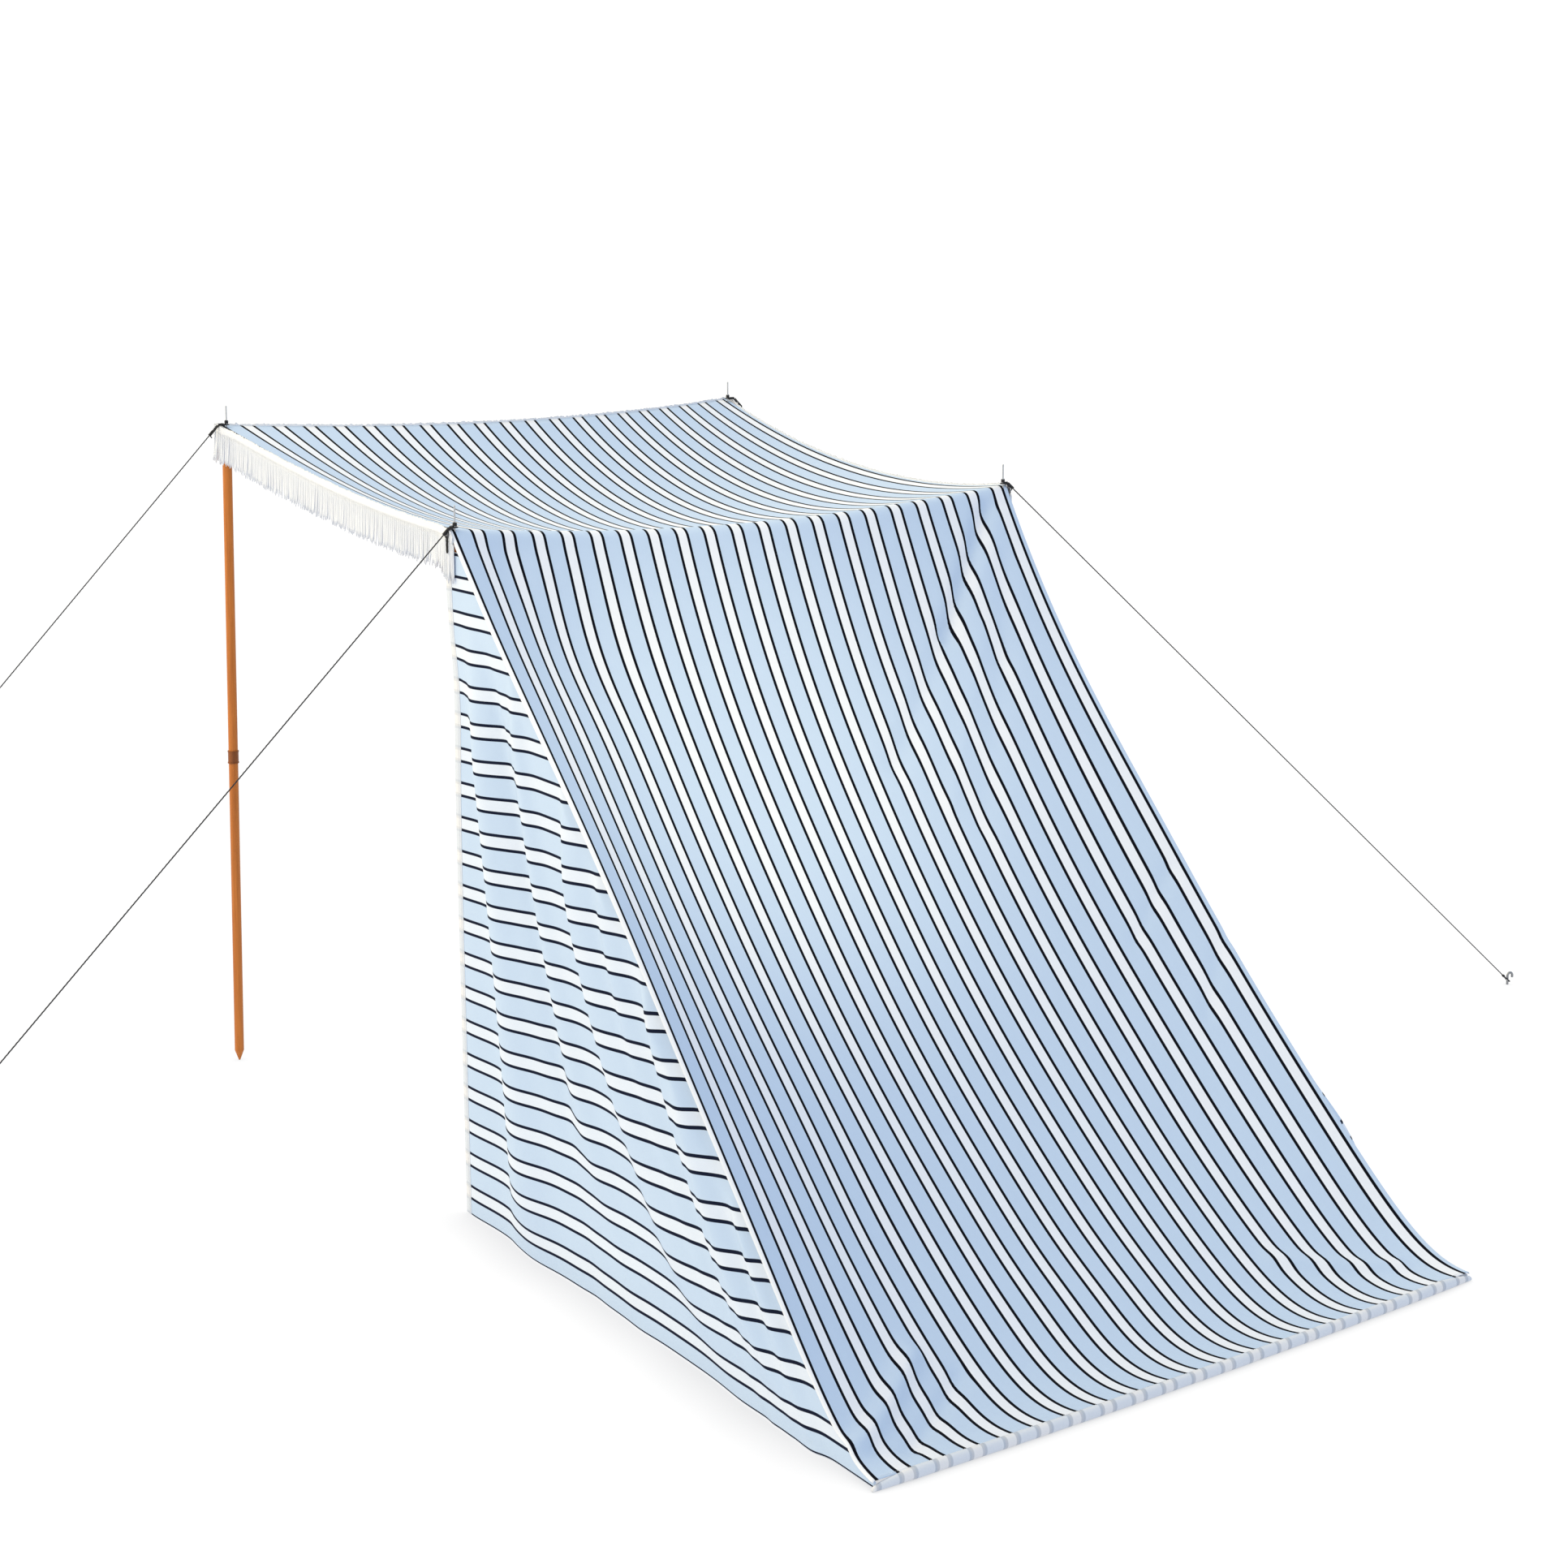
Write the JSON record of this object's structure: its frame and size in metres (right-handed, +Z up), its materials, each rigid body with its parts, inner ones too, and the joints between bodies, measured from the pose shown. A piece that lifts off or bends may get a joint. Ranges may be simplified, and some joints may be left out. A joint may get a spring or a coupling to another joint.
{
  "type": "beach windbreak",
  "caption": "Striped cloth beach windbreak with a sloping back wall, side walls and a fringed canopy roof on pointed wooden poles held by guy ropes.",
  "frame": {"origin": "on the ground, at the middle of the footprint: half way across the width, and half way between the back hem and the front edge of the roof", "axes": "+Z up, the open front faces +Y, the sloping back wall faces -Y, +X to the right when looking along +Y"},
  "size_m": [5.2046, 2.937, 1.792],
  "materials": {
    "striped_cloth": "matt woven cloth, printed stripes",
    "cloth_reverse": "matt, pale reverse of the print",
    "cotton_fringe": "matt twisted cotton",
    "black_rope": "matt braided cord",
    "pole_wood": "satin varnish",
    "ferrule_wood": "satin varnish",
    "pin_steel": "brushed",
    "peg_steel": "plain"
  },
  "bodies": {
    "root": {"canopy_sheet": "striped_cloth", "left_side_wall": "striped_cloth", "right_side_wall": "striped_cloth", "left_wall_front_hem": "cloth_reverse", "right_wall_front_hem": "cloth_reverse", "back_hem": "cloth_reverse", "left_wall_tie": "black_rope", "right_wall_tie": "black_rope", "left_fringe": "cotton_fringe", "right_fringe": "cotton_fringe", "front_fringe": "cotton_fringe", "ridge_left_pole_lower": "pole_wood", "ridge_left_pole_upper": "pole_wood", "ridge_left_ferrule": "ferrule_wood", "ridge_left_pin": "pin_steel", "ridge_left_guy_rope": "black_rope", "ridge_left_peg": "peg_steel", "ridge_right_pole_lower": "pole_wood", "ridge_right_pole_upper": "pole_wood", "ridge_right_ferrule": "ferrule_wood", "ridge_right_pin": "pin_steel", "ridge_right_guy_rope": "black_rope", "ridge_right_peg": "peg_steel", "front_left_pole_lower": "pole_wood", "front_left_pole_upper": "pole_wood", "front_left_ferrule": "ferrule_wood", "front_left_pin": "pin_steel", "front_left_guy_rope": "black_rope", "front_left_peg": "peg_steel", "front_right_pole_lower": "pole_wood", "front_right_pole_upper": "pole_wood", "front_right_ferrule": "ferrule_wood", "front_right_pin": "pin_steel", "front_right_guy_rope": "black_rope", "front_right_peg": "peg_steel"}
  },
  "joints": []
}
